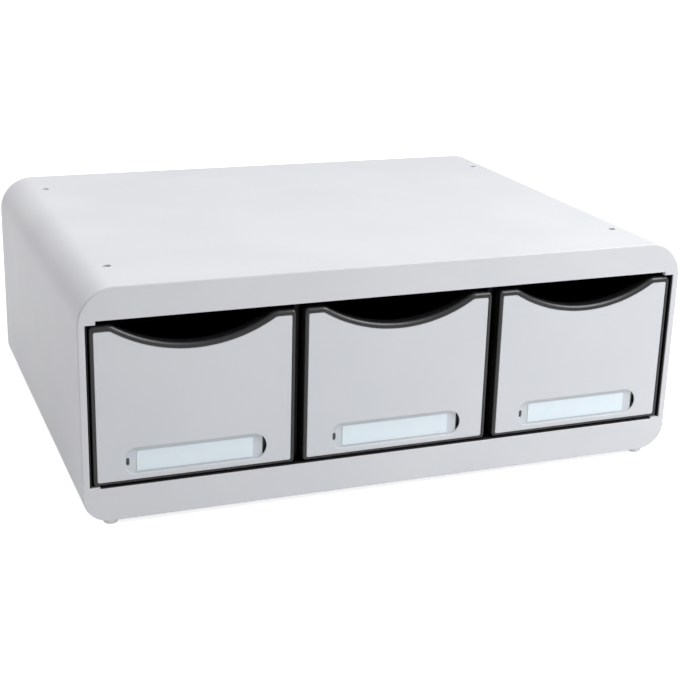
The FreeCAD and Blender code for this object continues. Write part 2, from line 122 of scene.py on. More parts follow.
def moulded_polystyrene(
    name, shade, flow_shade, edge_highlight_and_wear, grain_size, grain_height, roughness, sheen,
):
    """Injection moulded polystyrene.

    The eye sees one even colour with a faint cloud where the melt flowed, a fine satin grain, a few
    soft rubs that shine more, and edges that handling has burnished. The rounded edges are also
    drawn
    lighter: partly wear, partly a painted highlight where light would catch them. The real grain is
    about 0.1 mm across, too fine to show, so it is drawn several times as coarse.
    """
    flow_size = 70 * mm
    rub_size = 45 * mm
    edge_reach = 0.7 * mm
    material, tree, place = shader_tree(name)
    flow = add(tree, "ShaderNodeTexNoise", {"Vector": place, "Scale": 1 / flow_size, "Detail": 2})
    cloud = add(tree, "ShaderNodeMapRange", {"Value": flow, "From Min": 0.35, "From Max": 0.65})
    grain = add(tree, "ShaderNodeTexNoise", {"Vector": place, "Scale": 1 / grain_size, "Detail": 3})
    stretched = add(tree, "ShaderNodeMapping", {"Vector": place, "Scale": (1.0, 0.35, 2.5)})
    rubs = add(tree, "ShaderNodeTexNoise", {
        "Vector": stretched, "Scale": 1 / rub_size, "Detail": 6, "Roughness": 0.7,
    })
    rubbed = add(tree, "ShaderNodeMapRange", {
        "Value": rubs, "From Min": 0.56, "From Max": 0.72, "To Max": 0.06,
    })
    rounded = add(tree, "ShaderNodeBevel", {"Radius": edge_reach}, samples=4)
    true_normal = add(tree, "ShaderNodeNewGeometry").outputs["Normal"]
    facing = add(tree, "ShaderNodeVectorMath", {
        "Vector": rounded, "Vector_001": true_normal,
    }, operation="DOT_PRODUCT").outputs["Value"]
    edge = add(tree, "ShaderNodeMapRange", {
        "Value": facing, "From Min": 0.98, "From Max": 0.8,
    })
    patchy = add(tree, "ShaderNodeMath", {"Value": edge, "Value_001": cloud}, operation="MULTIPLY")
    plain = add(tree, "ShaderNodeMix", {
        "Factor": cloud, "A": colour(shade), "B": colour(flow_shade),
    }, data_type="RGBA")
    # Painted highlight and wear: the rounded edges take the lighter edge colour, partly for
    # handling wear and partly for the light they would catch.
    edge_lit_and_worn = add(tree, "ShaderNodeMix", {
        "Factor": patchy, "A": plain, "B": colour(edge_highlight_and_wear),
    }, data_type="RGBA")
    satin = add(tree, "ShaderNodeMapRange", {
        "Value": grain, "To Min": roughness - 0.05, "To Max": roughness + 0.07,
    })
    smoother = add(tree, "ShaderNodeMath", {
        "Value": satin, "Value_001": rubbed,
    }, operation="SUBTRACT")
    burnished = add(tree, "ShaderNodeMath", {
        "Value": edge, "Value_001": -0.05, "Value_002": smoother,
    }, operation="MULTIPLY_ADD")
    skin = add(tree, "ShaderNodeBump", {"Height": grain, "Strength": 0.6, "Distance": grain_height})
    shader = add(tree, "ShaderNodeBsdfPrincipled", {
        "Base Color": edge_lit_and_worn, "Roughness": burnished, "IOR": 1.59, "Specular IOR Level": sheen,
        "Normal": skin,
    })
    add(tree, "ShaderNodeOutputMaterial", {"Surface": shader})
    return material


def node_tree(name, sizes):
    """A Geometry Nodes tree with one named input for each size, and its input node."""
    kinds = {float: "Float", int: "Int", tuple: "Vector", bpy.types.Material: "Material",
             bpy.types.Object: "Object"}
    tree = bpy.data.node_groups.new(name, "GeometryNodeTree")
    for title, value in sizes.items():
        socket = tree.interface.new_socket(
            title, in_out="INPUT", socket_type="NodeSocket" + kinds[type(value)]
        )
        socket.default_value = value
    tree.interface.new_socket("Geometry", in_out="OUTPUT", socket_type="NodeSocketGeometry")
    return tree, add(tree, "NodeGroupInput").outputs


def in_scene(name, data):
    """A new object of some data, linked into the scene."""
    made = bpy.data.objects.new(name, data)
    bpy.context.scene.collection.objects.link(made)
    return made


def piece_from(name, shape):
    """A new object that keeps a shape as its mesh."""
    piece = in_scene(name, bpy.data.meshes.new(name))
    shape.to_mesh(piece.data)
    shape.free()
    return piece


def welded(mesh):
    """A mesh opened for editing, with its doubled corners merged."""
    shape = bmesh.new()
    shape.from_mesh(mesh)
    bmesh.ops.remove_doubles(shape, verts=shape.verts, dist=weld_distance)
    return shape


def keep_evaluated(piece):
    """Keep what a piece's modifiers make as its plain mesh."""
    made = piece.evaluated_get(bpy.context.evaluated_depsgraph_get())
    piece.data = bpy.data.meshes.new_from_object(made)
    piece.modifiers.clear()


def grow(name, tree, sizes):
    """Run a tree with these sizes and keep what it makes."""
    piece = piece_from(name, bmesh.new())
    modifier = piece.modifiers.new(name, "NODES")
    modifier.node_group = tree
    for socket in tree.interface.items_tree:
        if socket.in_out == "INPUT":
            modifier[socket.identifier] = sizes[socket.name]
    keep_evaluated(piece)
    return piece


def round_off(piece, radius, chosen, steps=4):
    """Round each sharp edge whose middle point is chosen."""
    shape = welded(piece.data)
    edges = []
    for edge in shape.edges:
        middle = (edge.verts[0].co + edge.verts[1].co) / 2
        if edge.is_manifold and edge.calc_face_angle() > sharp_angle and chosen(middle):
            edges.append(edge)
    bmesh.ops.bevel(shape, geom=edges, offset=radius, segments=steps, profile=0.5, affect="EDGES")
    shape.to_mesh(piece.data)
    shape.free()


def set_finish(piece, material):
    """Give a piece its material, and smooth shading that stays flat on its flat faces."""
    piece.data.materials.clear()
    piece.data.materials.append(material)
    piece.data.shade_smooth()
    piece.data.set_sharp_from_angle(angle=sharp_angle)
    modifier = piece.modifiers.new("flat faces stay flat", "WEIGHTED_NORMAL")
    modifier.keep_sharp = True


def end_tree(tree, size, made):
    """End a piece's tree with its material."""
    coloured = add(tree, "GeometryNodeSetMaterial", {
        "Geometry": made, "Material": size["Material"],
    })
    add(tree, "NodeGroupOutput", {"Geometry": coloured})
    return tree


def rounded_bar_tree():
    """A bar along Y whose four long edges are rounded, with one radius below and one above."""
    tree, size = node_tree("rounded bar", {
        "Width": 1.0, "Height": 1.0, "Length": 1.0, "Front centre": (0.0, 0.0, 0.0),
        "Low radius": 0.1, "High radius": 0.1, "Corner steps": 8,
    })
    section = add(tree, "GeometryNodeCurvePrimitiveQuadrilateral", {
        "Width": size["Width"], "Height": size["Height"],
    })
    spot = add(tree, "GeometryNodeInputPosition")
    level = add(tree, "ShaderNodeSeparateXYZ", {"Vector": spot}).outputs["Y"]
    above = add(tree, "FunctionNodeCompare", {"A": level, "B": 0.0}, operation="GREATER_THAN")
    radius = add(tree, "GeometryNodeSwitch", {
        "Switch": above, "False": size["Low radius"], "True": size["High radius"],
    }, input_type="FLOAT")
    rounded = add(tree, "GeometryNodeFilletCurve", {
        "Curve": section, "Count": size["Corner steps"], "Radius": radius,
    }, mode="POLY")
    filled = add(tree, "GeometryNodeFillCurve", {"Curve": rounded}, mode="NGONS")
    front = add(tree, "GeometryNodeTransform", {
        "Geometry": filled, "Translation": size["Front centre"],
        "Rotation": Euler((math.radians(90), 0, 0)),
    })
    back = add(tree, "GeometryNodeFlipFaces", {"Mesh": front})
    pulled = add(tree, "GeometryNodeExtrudeMesh", {
        "Mesh": back, "Offset": (0.0, 1.0, 0.0), "Offset Scale": size["Length"],
        "Individual": False,
    })
    closed = add(tree, "GeometryNodeJoinGeometry", {"Geometry": [front, pulled]})
    merged = add(tree, "GeometryNodeMergeByDistance", {
        "Geometry": closed, "Distance": weld_distance,
    })
    add(tree, "NodeGroupOutput", {"Geometry": merged})
    return tree


def four_places_tree():
    """Four points: one pair and a second pair, each mirrored from right to left."""
    tree, size = node_tree("four places", {"First": (0.0, 0.0, 0.0), "Second": (0.0, 0.0, 0.0)})
    pairs = []
    for title in ("First", "Second"):
        mirrored = add(tree, "ShaderNodeVectorMath", {
            "Vector": size[title], "Vector_001": (-1.0, 1.0, 1.0),
        }, operation="MULTIPLY")
        pairs.append(add(tree, "GeometryNodeMeshLine", {
            "Count": 2, "Start Location": mirrored, "Offset": size[title],
        }, mode="END_POINTS"))
    both = add(tree, "GeometryNodeJoinGeometry", {"Geometry": pairs})
    add(tree, "NodeGroupOutput", {"Geometry": both})
    return tree


def four_pegs_tree():
    """Four round pegs, which stand for bosses or cut holes."""
    tree, size = node_tree("four pegs", {
        "First": (0.0, 0.0, 0.0), "Second": (0.0, 0.0, 0.0), "Radius": 0.1, "Length": 1.0,
        "Turn": upright,
    })
    points = add(tree, "GeometryNodeGroup", {
        "First": size["First"], "Second": size["Second"],
    }, node_tree=four_places)
    peg = add(tree, "GeometryNodeMeshCylinder", {
        "Vertices": peg_sides, "Radius": size["Radius"], "Depth": size["Length"],
    }, fill_type="NGON")
    placed = add(tree, "GeometryNodeInstanceOnPoints", {
        "Points": points, "Instance": peg, "Rotation": size["Turn"],
    })
    real = add(tree, "GeometryNodeRealizeInstances", {"Geometry": placed})
    add(tree, "NodeGroupOutput", {"Geometry": real})
    return tree


bar_titles = (
    "Width", "Height", "Length", "Front centre", "Low radius", "High radius", "Corner steps",
)
rounded_bar = rounded_bar_tree()
four_places = four_places_tree()
four_pegs = four_pegs_tree()


def casing_tree(sizes):
    """A rounded bar, hollowed from behind, with its drawer opening, screw bosses and holes."""
    tree, size = node_tree("moulded casing", sizes)
    bar = {title: size[title] for title in bar_titles}
    outside = add(tree, "GeometryNodeGroup", bar, node_tree=rounded_bar)
    inner = {}
    for title in ("Width", "Height"):
        inner[title] = add(tree, "ShaderNodeMath", {
            "Value": size["Wall"], "Value_001": -2.0, "Value_002": size[title],
        }, operation="MULTIPLY_ADD")
    for title in ("Low radius", "High radius"):
        inner[title] = add(tree, "ShaderNodeMath", {
            "Value": size[title], "Value_001": size["Wall"],
        }, operation="SUBTRACT")
    face = add(tree, "ShaderNodeCombineXYZ", {"Y": size["Face thickness"]})
    behind_face = add(tree, "ShaderNodeVectorMath", {
        "Vector": size["Front centre"], "Vector_001": face,
    }, operation="ADD")
    inner["Front centre"] = behind_face
    hollow = add(tree, "GeometryNodeGroup", {**bar, **inner}, node_tree=rounded_bar)
    shell = add(tree, "GeometryNodeMeshBoolean", {
        "Mesh 1": outside, "Mesh 2": hollow,
    }, solver="MANIFOLD")
    bosses = add(tree, "GeometryNodeGroup", {
        "First": size["Low boss"], "Second": size["High boss"], "Radius": size["Boss radius"],
        "Length": size["Boss length"], "Turn": along_depth,
    }, node_tree=four_pegs)
    bossed = add(tree, "GeometryNodeMeshBoolean", {
        "Mesh 2": [shell, bosses],
    }, operation="UNION", solver="MANIFOLD")
    cutters = []
    for title in ("Wide opening", "Tall opening"):
        block = add(tree, "GeometryNodeMeshCube", {"Size": size[title + " size"]})
        cutters.append(add(tree, "GeometryNodeTransform", {
            "Geometry": block, "Translation": size[title + " centre"],
        }))
    for title, turn in (
        ("Pin hole", upright), ("Foot hole", upright), ("Screw hole", along_depth),
    ):
        cutters.append(add(tree, "GeometryNodeGroup", {
            "First": size[title + " first"], "Second": size[title + " second"],
            "Radius": size[title + " radius"], "Length": size[title + " length"], "Turn": turn,
        }, node_tree=four_pegs))
    opened = add(tree, "GeometryNodeMeshBoolean", {
        "Mesh 1": bossed, "Mesh 2": cutters,
    }, solver="MANIFOLD")
    return end_tree(tree, size, opened)


def boss_place(corner_z, outer_radius, upwards):
    """Where a screw boss stands in a rounded corner, its screw's head just clear of the wall."""
    inner_radius = outer_radius - casing_wall
    reach = (inner_radius - screw_head_room) / math.sqrt(2)
    x = casing_half_width - casing_wall - inner_radius + reach
    z = corner_z - upwards * (casing_wall + inner_radius - reach)
    return x, z


low_boss_x, low_boss_z = boss_place(casing_low.z, casing_bottom_radius, -1)
high_boss_x, high_boss_z = boss_place(casing_high.z, casing_top_radius, 1)
opening_half_width = casing_half_width - opening_side_band
opening_low_z = casing_low.z + opening_bottom_band
opening_high_z = casing_high.z - opening_top_band
opening_shoulder_z = opening_high_z - opening_step_height
opening_foot_z = opening_low_z + opening_foot_step_height
tall_opening_half_width = opening_half_width - opening_step_width
pin_hole_x = casing_half_width - pin_hole_side_setback
pin_hole_y = casing_rear_y - pin_hole_end_setback
foot_x = casing_half_width - foot_side_inset
foot_y = casing_rear_y - foot_end_inset
cut_depth = 4 * casing_wall
boss_centre_y = rear_panel_front_y - boss_length / 2
screw_hole_y = boss_centre_y + screw_hole_floor

# The fourth colour lightens the rounded edges: partly wear, partly a painted highlight.
casing_grey = moulded_polystyrene(
    "polystyrene, light grey, spark textured", "D9DADF", "DDDEE2", "E6E7EA",
    grain_size=0.9 * mm, grain_height=0.02 * mm, roughness=0.44, sheen=0.5,
)
casing_sizes = {
    "Width": 2 * casing_half_width,
    "Height": casing_high.z - casing_low.z,
    "Length": casing_rear_y - casing_front_y,
    "Front centre": (0.0, casing_front_y, (casing_low.z + casing_high.z) / 2),
    "Low radius": casing_bottom_radius,
    "High radius": casing_top_radius,
    "Corner steps": corner_steps,
    "Wall": casing_wall,
    "Face thickness": casing_face_thickness,
    "Wide opening size": (2 * opening_half_width, cut_depth, opening_shoulder_z - opening_foot_z),
    "Wide opening centre": (0.0, casing_front_y, (opening_shoulder_z + opening_foot_z) / 2),
    "Tall opening size": (2 * tall_opening_half_width, cut_depth, opening_high_z - opening_low_z),
    "Tall opening centre": (0.0, casing_front_y, (opening_high_z + opening_low_z) / 2),
    "Low boss": (low_boss_x, boss_centre_y, low_boss_z),
    "High boss": (high_boss_x, boss_centre_y, high_boss_z),
    "Boss radius": boss_radius,
    "Boss length": boss_length,
    "Pin hole first": (pin_hole_x, -pin_hole_y, casing_high.z),
    "Pin hole second": (pin_hole_x, pin_hole_y, casing_high.z),
    "Pin hole radius": pin_hole_radius,
    "Pin hole length": cut_depth,
    "Foot hole first": (foot_x, -foot_y, casing_low.z),
    "Foot hole second": (foot_x, foot_y, casing_low.z),
    "Foot hole radius": foot_stem_hole_radius,
    "Foot hole length": cut_depth,
    "Screw hole first": (low_boss_x, screw_hole_y, low_boss_z),
    "Screw hole second": (high_boss_x, screw_hole_y, high_boss_z),
    "Screw hole radius": screw_hole_radius,
    "Screw hole length": boss_length,
    "Material": casing_grey,
}
casing = grow("casing", casing_tree(casing_sizes), casing_sizes)


def at_casing_end(middle):
    """True on the outline of the casing's front face or rear rim."""
    at_front = abs(middle.y - casing_front_y) < on_plane
    at_rear = abs(middle.y - casing_rear_y) < on_plane
    inside_opening = abs(middle.x) < opening_half_width + beside_opening and (
        opening_low_z - beside_opening < middle.z < opening_high_z + beside_opening
    )
    return at_rear or at_front and not inside_opening


def at_opening(middle):
    """True on the sharp edges left in the casing's front face: those of the opening."""
    return abs(middle.y - casing_front_y) < on_plane


def at_top_hole(middle):
    """True on the rims of the small holes in the top."""
    return abs(middle.z - casing_high.z) < on_plane


round_off(casing, casing_edge_round, at_casing_end)
round_off(casing, opening_edge_round, at_opening, steps=3)
round_off(casing, hole_edge_round, at_top_hole, steps=2)
set_finish(casing, casing_grey)
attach(casing, "casing")
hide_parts("outer_casing")

# ---- Rear panel and its screws ----
# A flat plate of the same light grey polystyrene closes the back. It sits 1 mm inside the casing's
# rim, and four zinc-plated pan-head screws hold it to bosses in the casing's rounded corners.
rear_panel_gap = 0.2 * mm
rear_panel_round = 0.5 * mm
screw_length = 11.0 * mm
screw_shank_radius = 1.5 * mm
screw_head_radius = 3.5 * mm
screw_head_height = 2.2 * mm
screw_recess_length = 4.0 * mm
screw_recess_width = 0.9 * mm
screw_recess_depth = 1.0 * mm
quarter_steps = 8


def rear_panel_tree(sizes):
    """The casing's inner section less a gap, with four holes for the screws."""
    tree, size = node_tree("rear panel", sizes)
    plate = add(tree, "GeometryNodeGroup", {
        title: size[title] for title in bar_titles
    }, node_tree=rounded_bar)
    holes = add(tree, "GeometryNodeGroup", {
        "First": size["Low screw"], "Second": size["High screw"], "Radius": size["Hole radius"],
        "Length": size["Hole length"], "Turn": along_depth,
    }, node_tree=four_pegs)
    drilled = add(tree, "GeometryNodeMeshBoolean", {
        "Mesh 1": plate, "Mesh 2": holes,
    }, solver="MANIFOLD")
    return end_tree(tree, size, drilled)


def turned(name, outline):
    """A solid turned about the upright axis from its outline of radii and heights."""
    shape = bmesh.new()
    spots = [shape.verts.new((radius, 0, height)) for radius, height in outline]
    rim = [shape.edges.new(pair) for pair in zip(spots, spots[1:])]
    bmesh.ops.spin(
        shape, geom=spots + rim, cent=(0, 0, 0), axis=(0, 0, 1), angle=math.radians(360),
        steps=4 * quarter_steps,
    )
    bmesh.ops.remove_doubles(shape, verts=shape.verts, dist=weld_distance)
    bmesh.ops.recalc_face_normals(shape, faces=shape.faces)
    return piece_from(name, shape)


def quarter_round(radius):
    """Steps round a quarter circle, as pairs that run along its first and its second direction."""
    angles = [math.radians(90 * i / quarter_steps) for i in range(quarter_steps + 1)]
    return [(radius * math.cos(a), radius * math.sin(a)) for a in angles]


def apply_boolean(piece, tools, operation):
    """Cut tools away from a piece, or join them to it, and remove the tools."""
    for tool in tools:
        modifier = piece.modifiers.new(operation, "BOOLEAN")
        modifier.object = tool
        modifier.operation = operation
        modifier.solver = "EXACT"
    bpy.context.view_layer.update()
    keep_evaluated(piece)
    for tool in tools:
        bpy.data.objects.remove(tool)
    shape = welded(piece.data)
    shape.to_mesh(piece.data)
    shape.free()


def block(name, low, high):
    """A block between two corners."""
    shape = bmesh.new()
    bmesh.ops.create_cube(shape, size=1)
    for vertex in shape.verts:
        vertex.co = [(a + b) / 2 + (b - a) * c for a, b, c in zip(low, high, vertex.co)]
    return piece_from(name, shape)


def zinc_plated_steel():
    """Zinc-plated, cold-headed steel screws.

    The eye sees a bright, slightly blue metal with a soft mottle from the plating bath and fine
    marks from the header's die.
    """
    mottle_size = 1.2 * mm
    die_mark_size = 0.25 * mm
    material, tree, place = shader_tree("steel screw, zinc plated")
    mottle = add(tree, "ShaderNodeTexNoise", {
        "Vector": place, "Scale": 1 / mottle_size, "Detail": 3.0,
    })
    marks = add(tree, "ShaderNodeTexNoise", {
        "Vector": place, "Scale": 1 / die_mark_size, "Detail": 2.0,
    })
    plated = add(tree, "ShaderNodeMix", {
        "Factor": mottle, "A": colour("B4B8BE"), "B": colour("D2D4D6"),
    }, data_type="RGBA")
    dulled = add(tree, "ShaderNodeMapRange", {"Value": mottle, "To Min": 0.24, "To Max": 0.42})
    skin = add(tree, "ShaderNodeBump", {"Height": marks, "Strength": 0.4, "Distance": 0.01 * mm})
    shader = add(tree, "ShaderNodeBsdfPrincipled", {
        "Base Color": plated, "Roughness": dulled, "Metallic": 1.0, "Normal": skin,
    })
    add(tree, "ShaderNodeOutputMaterial", {"Surface": shader})
    return material


def four_copies_tree(sizes):
    """One part set at four mirrored places."""
    tree, size = node_tree("four copies", sizes)
    points = add(tree, "GeometryNodeGroup", {
        "First": size["First"], "Second": size["Second"],
    }, node_tree=four_places)
    part = add(tree, "GeometryNodeObjectInfo", {"Object": size["Part"]}).outputs["Geometry"]
    placed = add(tree, "GeometryNodeInstanceOnPoints", {
        "Points": points, "Instance": part, "Rotation": size["Turn"],
    })
    real = add(tree, "GeometryNodeRealizeInstances", {"Geometry": placed})
    return end_tree(tree, size, real)


panel_sizes = {
    "Width": rear_panel_high.x - rear_panel_low.x,
    "Height": rear_panel_high.z - rear_panel_low.z,
    "Length": rear_panel_high.y - rear_panel_low.y,
    "Front centre": (0.0, rear_panel_low.y, (rear_panel_low.z + rear_panel_high.z) / 2),
    "Low radius": casing_bottom_radius - casing_wall - rear_panel_gap,
    "High radius": casing_top_radius - casing_wall - rear_panel_gap,
    "Corner steps": corner_steps,
    "Low screw": (low_boss_x, rear_panel_high.y, low_boss_z),
    "High screw": (high_boss_x, rear_panel_high.y, high_boss_z),
    "Hole radius": screw_hole_radius,
    "Hole length": cut_depth,
    "Material": casing_grey,
}
rear_panel = grow("rear_panel_plate", rear_panel_tree(panel_sizes), panel_sizes)
round_off(
    rear_panel, rear_panel_round, lambda middle: abs(middle.y - rear_panel_high.y) < on_plane,
    steps=3,
)
set_finish(rear_panel, casing_grey)
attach(rear_panel, "casing")
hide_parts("rear_panel")

dome = [
    (screw_head_radius - screw_head_height / 2 + x, screw_head_height / 2 + z)
    for x, z in quarter_round(screw_head_height / 2)
]
screw = turned("one_screw", [
    (0, -screw_length), (screw_shank_radius, -screw_length), (screw_shank_radius, 0),
    (screw_head_radius, 0), *dome, (0, screw_head_height),
])
recess_low_z = screw_head_height - screw_recess_depth
recess_long = screw_recess_length / 2
recess_short = screw_recess_width / 2
apply_boolean(screw, [
    block("recess", (-across, -along, recess_low_z), (across, along, 2 * screw_head_height))
    for across, along in ((recess_long, recess_short), (recess_short, recess_long))
], "DIFFERENCE")
screw_zinc = zinc_plated_steel()
screw_sizes = {
    "First": (low_boss_x, rear_panel_high.y, low_boss_z),
    "Second": (high_boss_x, rear_panel_high.y, high_boss_z),
    "Part": screw,
    "Turn": (math.radians(-90), 0.0, 0.0),
    "Material": screw_zinc,
}
four_copies = four_copies_tree(screw_sizes)
screws = grow("screws", four_copies, screw_sizes)
bpy.data.objects.remove(screw)
set_finish(screws, screw_zinc)
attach(screws, "casing")
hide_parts("rear_panel_screws")

# ---- Feet ----
# Four small domed studs of grey thermoplastic rubber, each with a stem pushed up into the casing's
# floor. They are moulded, and lift the box 3 mm off the desk.
foot_height = casing_low.z
foot_top_radius = 5.0 * mm
foot_tip_radius = 3.5 * mm
foot_tip_round = 0.8 * mm
foot_stem_radius = 2.0 * mm


def thermoplastic_rubber():
    """Moulded thermoplastic rubber: dull, a little translucent in tone, with a powdery bloom."""
    bloom_size = 2.5 * mm
    grain_size = 0.5 * mm
    material, tree, place = shader_tree("thermoplastic rubber, grey, moulded")
    bloom = add(tree, "ShaderNodeTexNoise", {"Vector": place, "Scale": 1 / bloom_size, "Detail": 4})
    grain = add(tree, "ShaderNodeTexNoise", {"Vector": place, "Scale": 1 / grain_size, "Detail": 2})
    # Painted light: both colours are lighter than the feet's own grey rubber, to make up for the
    # shade they stand in under the box.
    powdery_and_painted_lighter = add(tree, "ShaderNodeMix", {
        "Factor": bloom, "A": colour("E4E5E8"), "B": colour("EEEFF1"),
    }, data_type="RGBA")
    dull = add(tree, "ShaderNodeMapRange", {"Value": bloom, "To Min": 0.62, "To Max": 0.85})
    skin = add(tree, "ShaderNodeBump", {"Height": grain, "Strength": 0.5, "Distance": 0.02 * mm})
    shader = add(tree, "ShaderNodeBsdfPrincipled", {
        "Base Color": powdery_and_painted_lighter, "Roughness": dull, "IOR": 1.5, "Normal": skin,
    })
    add(tree, "ShaderNodeOutputMaterial", {"Surface": shader})
    return material


foot_taper = (foot_top_radius - foot_tip_radius) / foot_height
foot_outline = [(0, 0)]
for across, up in reversed(quarter_round(foot_tip_round)):
    foot_outline.append((
        foot_tip_radius - foot_tip_round + across + foot_taper * (foot_tip_round - up),
        foot_tip_round - up,
    ))
foot_outline += [
    (foot_top_radius, foot_height), (foot_stem_radius, foot_height),
    (foot_stem_radius, foot_height + casing_wall), (0, foot_height + casing_wall),
]
foot = turned("one_foot", foot_outline)
foot_rubber = thermoplastic_rubber()
foot_sizes = {
    "First": (foot_x, -foot_y, 0.0),
    "Second": (foot_x, foot_y, 0.0),
    "Part": foot,
    "Turn": upright,
    "Material": foot_rubber,
}
feet = grow("feet", four_copies, foot_sizes)
bpy.data.objects.remove(foot)
set_finish(feet, foot_rubber)
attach(feet, "casing")
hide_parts("foot_front_left", "foot_front_right", "foot_rear_left", "foot_rear_right")

# ---- Black lining ----
# The bays between and around the drawers are lined with flat black polystyrene mouldings: the deck
# with its runner ribs, the top liner, two side liners and two dividers, which slot together.
lining_edge_round = 0.25 * mm
flat_angle = math.radians(0.5)


def eased_copy(node, radius):
    """A copy of a flat-sided node with its loose triangles joined up and its sharp edges eased."""
    shape = welded(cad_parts[node].data)
    bmesh.ops.dissolve_limit(shape, angle_limit=flat_angle, verts=shape.verts, edges=shape.edges)
    piece = piece_from(node + "_moulding", shape)
    round_off(piece, radius, lambda middle: True, steps=2)
    return piece


# The fourth colour lightens the rounded edges: partly wear, partly a painted highlight.
lining_black = moulded_polystyrene(
    "polystyrene, black, lining", "0E0E10", "131315", "242427",
    grain_size=0.9 * mm, grain_height=0.02 * mm, roughness=0.5, sheen=0.15,
)
for node in (
    "runner_deck", "top_liner", "side_liner_left", "side_liner_right", "divider_left",
    "divider_right",
):
    moulding = eased_copy(node, lining_edge_round)
    set_finish(moulding, lining_black)
    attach(moulding, "casing")
    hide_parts(node)

# ---- Drawer trays ----
# Three black polystyrene trays, each moulded in one: a thick front with a finger scoop and a rolled
# lip, a shallow pocket that takes the fascia, and an open tub with stop tabs on its rear wall.
bay_x = {}
for name in ("left", "centre", "right"):
    bay_low, bay_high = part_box("drawer_tray_" + name)
    bay_x[name] = (bay_low.x + bay_high.x) / 2
tray_low, tray_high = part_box("drawer_tray_centre")
tray_front_y = tray_low.y
tray_rear_y = tray_high.y
front_half_width = tray_high.x
front_low_z = tray_low.z
stop_tab_high_z = tray_high.z
front_height = 88.2 * mm
front_high_z = front_low_z + front_height
front_corner_radius = 2.0 * mm
lip_depth = 9.0 * mm
lip_height = 5.0 * mm
lip_front_round = 1.3 * mm
lip_high_round = 2.6 * mm
lip_rear_round = 3.0 * mm
front_end_round = 0.4 * mm
scoop_depth = 13.0 * mm
scoop_end_flat = 11.8 * mm
scoop_blend_radius = 7.1 * mm
rim_side = 2.0 * mm
rim_low = 1.5 * mm
rim_high = 3.0 * mm
rim_edge_round = 0.15 * mm
fascia_corner_radius = 1.0 * mm
fascia_low, fascia_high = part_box("drawer_fascia_centre")
fascia_front_y = fascia_low.y
fascia_seat_y = fascia_high.y
front_wall = 2.4 * mm
front_inside_y = fascia_seat_y + front_wall
tub_side_gap = 1.0 * mm
tub_half_width = front_half_width - tub_side_gap
tub_wall = 1.8 * mm
tub_floor = 2.0 * mm
tub_below_front = 6.6 * mm
tub_high_z = front_high_z - tub_below_front
tub_corner_radius = 6.0 * mm
tub_floor_radius = 3.0 * mm
tub_rim_round = 0.7 * mm
tub_low_round = 0.5 * mm
tub_overlap = 0.4 * mm
stop_tab_width = 10.0 * mm
stop_tab_spacing = 70.0 * mm
stop_tab_round = 0.3 * mm
stop_tab_root = 2.0 * mm
scoop_steps = 56
blend_steps = 8
small_corner_steps = 5
scoop_half_width = front_half_width - scoop_end_flat
scoop_radius = (scoop_half_width ** 2 + scoop_depth ** 2) / (2 * scoop_depth)
scoop_centre_z = front_high_z - scoop_depth + scoop_radius


def arc(centre_x, centre_z, radius, start, end, steps):
    """Points from one angle to another round a centre, in radians."""
    angles = [start + (end - start) * i / steps for i in range(steps + 1)]
    return [(centre_x + radius * math.cos(a), centre_z + radius * math.sin(a)) for a in angles]


def front_outline(side, low, high, corner=fascia_corner_radius):
    """A drawer front's outline moved inwards by three insets; the scoop keeps its centre."""
    half = front_half_width - side
    low_z = front_low_z + low
    high_z = front_high_z - high
    scoop = scoop_radius + high
    blend = scoop_blend_radius - high
    blend_z = high_z - blend
    blend_x = math.sqrt((scoop + blend) ** 2 - (scoop_centre_z - blend_z) ** 2)
    meet = math.atan2(scoop_centre_z - blend_z, -blend_x)
    right = arc(half - corner, low_z + corner, corner, -math.pi / 2, 0, small_corner_steps)
    right += arc(half - corner, high_z - corner, corner, 0, math.pi / 2, small_corner_steps)
    right += arc(blend_x, blend_z, blend, math.pi / 2, meet, blend_steps)
    scoop_line = arc(0, scoop_centre_z, scoop, meet - math.pi, -meet, scoop_steps)[1:-1]
    left = [(-x, z) for x, z in reversed(right)]
    return right + scoop_line + left


def stack_rings(name, rings, open_side=False):
    """A solid skinned over rings of points, with its two ends and any open side filled."""
    shape = bmesh.new()
    rows = [[shape.verts.new(spot) for spot in ring] for ring in rings]
    for row, following in zip(rows, rows[1:]):
        for i in range(int(open_side), len(row)):
            shape.faces.new((row[i - 1], row[i], following[i], following[i - 1]))
    shape.faces.new(rows[0])
    shape.faces.new(rows[-1])
    if open_side:
        shape.faces.new([row[0] for row in rows] + [row[-1] for row in reversed(rows)])
    bmesh.ops.recalc_face_normals(shape, faces=shape.faces)
    return piece_from(name, shape)


def front_block():
    """The thick front: pocket floor, pocket wall, rim, rolled lip and the recess behind the lip."""
    pocket = (rim_side, rim_low, rim_high)
    recess = (tub_side_gap + tub_wall, tub_floor, lip_height)
    rear_y = tray_front_y + lip_depth
    levels = [(pocket, fascia_corner_radius, fascia_seat_y)]
    for out, back in quarter_round(rim_edge_round):
        insets = [p - (rim_edge_round - out) for p in pocket]
        levels.append((insets, fascia_corner_radius, tray_front_y + rim_edge_round - back))
    for out, back in reversed(quarter_round(lip_high_round)):
        depth = lip_high_round - back
        rise = max(lip_front_round - depth, 0.0)
        side = lip_front_round - math.sqrt(lip_front_round ** 2 - rise ** 2)
        insets = (side, side, lip_high_round - out)
        levels.append((insets, front_corner_radius - side, tray_front_y + depth))
    for out, back in quarter_round(1.0):
        insets = [r * (1 - out) for r in (front_end_round, front_end_round, lip_rear_round)]
        levels.append((insets, front_corner_radius, rear_y - lip_rear_round * (1 - back)))
    for back, out in quarter_round(rim_edge_round):
        insets = [r - rim_edge_round + out for r in recess]
        levels.append((insets, fascia_corner_radius, rear_y - rim_edge_round + back))
    levels.append((recess, fascia_corner_radius, front_inside_y))
    return stack_rings("front_block", [
        [(x, y, z) for x, z in front_outline(*insets, corner)] for insets, corner, y in levels
    ])


